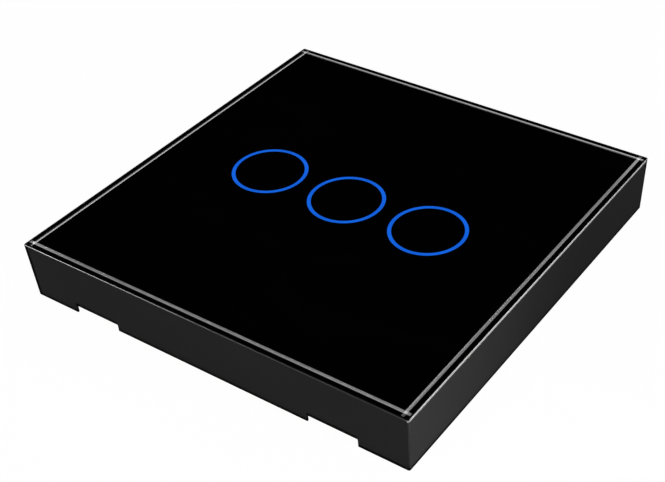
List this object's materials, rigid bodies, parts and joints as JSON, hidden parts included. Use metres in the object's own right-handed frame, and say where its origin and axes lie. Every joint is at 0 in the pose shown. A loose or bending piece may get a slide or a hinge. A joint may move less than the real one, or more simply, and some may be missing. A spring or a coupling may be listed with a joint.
{
  "type": "wireless light switch",
  "caption": "Square wall-mounted battery light switch with a black glass touch face, lit rings, a drafted housing, a pull-off wall plate and a twist battery lid.",
  "frame": {"origin": "centre of the wall plate's back face, which lies against the wall or on the table", "axes": "+Z out of the wall through the glass face, +X along the row of rings, -Y towards the side with the pry notches, which is the lower side on a wall"},
  "size_m": [0.086, 0.086, 0.0122],
  "materials": {
    "housing_plastic": "black ABS, fine satin texture",
    "black_glass": "tempered glass, black behind, polished",
    "silver_line": "silver enamel in an engraved line",
    "lit_ring": "translucent filling, lit blue from behind",
    "tape": "black double-sided tissue tape",
    "diffuser": "milky translucent plastic",
    "spring_steel": "tinned spring steel",
    "board": "green solder mask over glass laminate",
    "led": "clear moulded LED",
    "chip": "black moulded component",
    "cell_steel": "nickel-plated steel",
    "copper": "enamelled copper wire",
    "cover_plastic": "black ABS, spark-eroded texture",
    "screw_steel": "zinc-plated screws",
    "plate_plastic": "black ABS, matt",
    "foam_pad": "white acrylic foam tape",
    "lid_plastic": "black ABS, matt",
    "button_plastic": "grey moulded button"
  },
  "bodies": {
    "wall_plate": {"wall_plate": "plate_plastic", "adhesive_pads": "foam_pad"},
    "front": {"front_housing": "housing_plastic", "glass_panel": "black_glass", "border_line": "silver_line", "light_ring_left": "lit_ring", "light_ring_middle": "lit_ring", "light_ring_right": "lit_ring", "panel_tape": "tape", "diffuser_sheet": "diffuser", "light_frame": "housing_plastic", "light_guide_left": "diffuser", "light_guide_middle": "diffuser", "light_guide_right": "diffuser", "touch_spring_left": "spring_steel", "touch_spring_middle": "spring_steel", "touch_spring_right": "spring_steel", "main_board": "board", "ring_leds": "led", "controller_chip": "chip", "touch_chip": "chip", "crystal": "cell_steel", "passives": "chip", "antenna_coil": "copper", "pairing_switch": "chip", "contact_minus": "spring_steel", "contact_plus": "spring_steel", "coin_cell": "cell_steel", "rear_cover": "cover_plastic", "cover_screws": "screw_steel"},
    "battery_lid": {"battery_lid": "lid_plastic"},
    "pairing_button": {"pairing_button": "button_plastic", "switch_plunger": "button_plastic"}
  },
  "joints": [
    {"name": "front_pull", "type": "slide", "parent": "wall_plate", "child": "front", "axis": [0, 0, 1], "range_m": [0, 0.03]},
    {"name": "lid_turn", "type": "hinge", "parent": "front", "child": "battery_lid", "pos_m": [0, 0, 0.0024], "axis": [0, 0, -1], "range_deg": [0, 45]},
    {"name": "button_press", "type": "slide", "parent": "front", "child": "pairing_button", "axis": [0, 0, 1], "range_m": [0, 0.00025], "stiffness_N_per_m": 6400}
  ]
}
